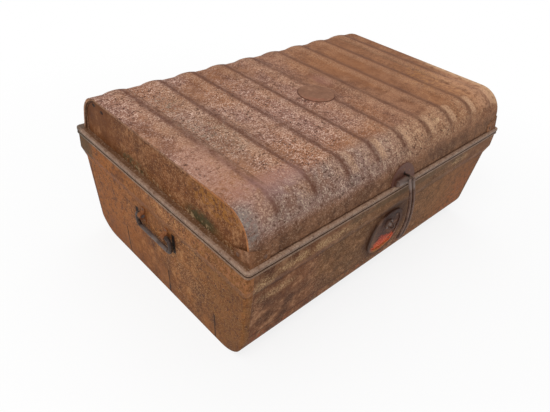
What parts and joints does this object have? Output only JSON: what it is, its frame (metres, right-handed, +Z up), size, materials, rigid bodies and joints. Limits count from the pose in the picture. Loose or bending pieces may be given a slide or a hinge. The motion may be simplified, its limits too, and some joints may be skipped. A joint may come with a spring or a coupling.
{
  "type": "metal trunk",
  "caption": "Old sheet-metal trunk: tapered body with a stepped collar, ribbed lid on rear hinges, hasp with a hanging link, lock plate, corner plates and bail handles on its ends.",
  "frame": {"origin": "middle of the base, on the surface the trunk stands on", "axes": "+X along the length, to the right seen from the front; -Y is the front with the hasp; +Z is up"},
  "size_m": [0.6732, 0.4845, 0.29],
  "materials": {
    "body_sheet": "rusted, worn paint",
    "end_sheet": "rusted, worn paint",
    "rim_bead": "rubbed pale, rust in the lows",
    "lid_sheet": "rusted, speckled wear",
    "lid_end_sheet": "rusted, worn paint",
    "disc_sheet": "rusted, bare of any mark",
    "corner_sheet": "rusted, worn paint",
    "lock_sheet": "rusted, rest of red paint",
    "rivet_iron": "rusted",
    "hinge_iron": "rusted",
    "clip_sheet": "rusted, painted over with the end panels",
    "handle_iron": "dark, rubbed grey on the grip",
    "hasp_iron": "dark, rubbed"
  },
  "bodies": {
    "trunk": {"body_wrap": "body_sheet", "body_end_left": "end_sheet", "body_end_right": "end_sheet", "body_rim": "rim_bead", "lock_plate": "lock_sheet", "lock_staple": "hasp_iron", "lock_rivets": "rivet_iron", "handle_clip_left_front": "clip_sheet", "handle_clip_left_rear": "clip_sheet", "handle_clip_right_front": "clip_sheet", "handle_clip_right_rear": "clip_sheet", "handle_rivets_left": "rivet_iron", "handle_rivets_right": "rivet_iron", "hinge_body_leaf_left": "hinge_iron", "hinge_body_leaf_right": "hinge_iron", "hinge_pin_left": "hinge_iron", "hinge_pin_right": "hinge_iron", "hinge_body_rivets": "rivet_iron"},
    "lid": {"lid_wrap": "lid_sheet", "lid_end_left": "lid_end_sheet", "lid_end_right": "lid_end_sheet", "lid_rim": "rim_bead", "corner_plate_front_left": "corner_sheet", "corner_plate_front_right": "corner_sheet", "corner_plate_rivets": "rivet_iron", "lid_disc": "disc_sheet", "hasp_plate": "hasp_iron", "hasp_rivets": "rivet_iron", "hinge_lid_leaf_left": "hinge_iron", "hinge_lid_leaf_right": "hinge_iron", "hinge_lid_rivets": "rivet_iron"},
    "link": {"hasp_link": "hasp_iron"},
    "left_handle": {"handle_left": "handle_iron"},
    "right_handle": {"handle_right": "handle_iron"}
  },
  "joints": [
    {"name": "lid_hinge", "type": "hinge", "parent": "trunk", "child": "lid", "pos_m": [0, 0.2302, 0.207], "axis": [-1, 0, 0], "range_deg": [0, 110]},
    {"name": "link_swing", "type": "hinge", "parent": "lid", "child": "link", "pos_m": [0.006, -0.2314, 0.22385], "axis": [-1, 0, 0], "range_deg": [-10, 170]},
    {"name": "left_handle_swing", "type": "hinge", "parent": "trunk", "child": "left_handle", "pos_m": [-0.33108, -0.0015, 0.141], "axis": [0, 1, 0], "range_deg": [0, 155]},
    {"name": "right_handle_swing", "type": "hinge", "parent": "trunk", "child": "right_handle", "pos_m": [0.33108, -0.0015, 0.141], "axis": [0, -1, 0], "range_deg": [0, 155]}
  ]
}
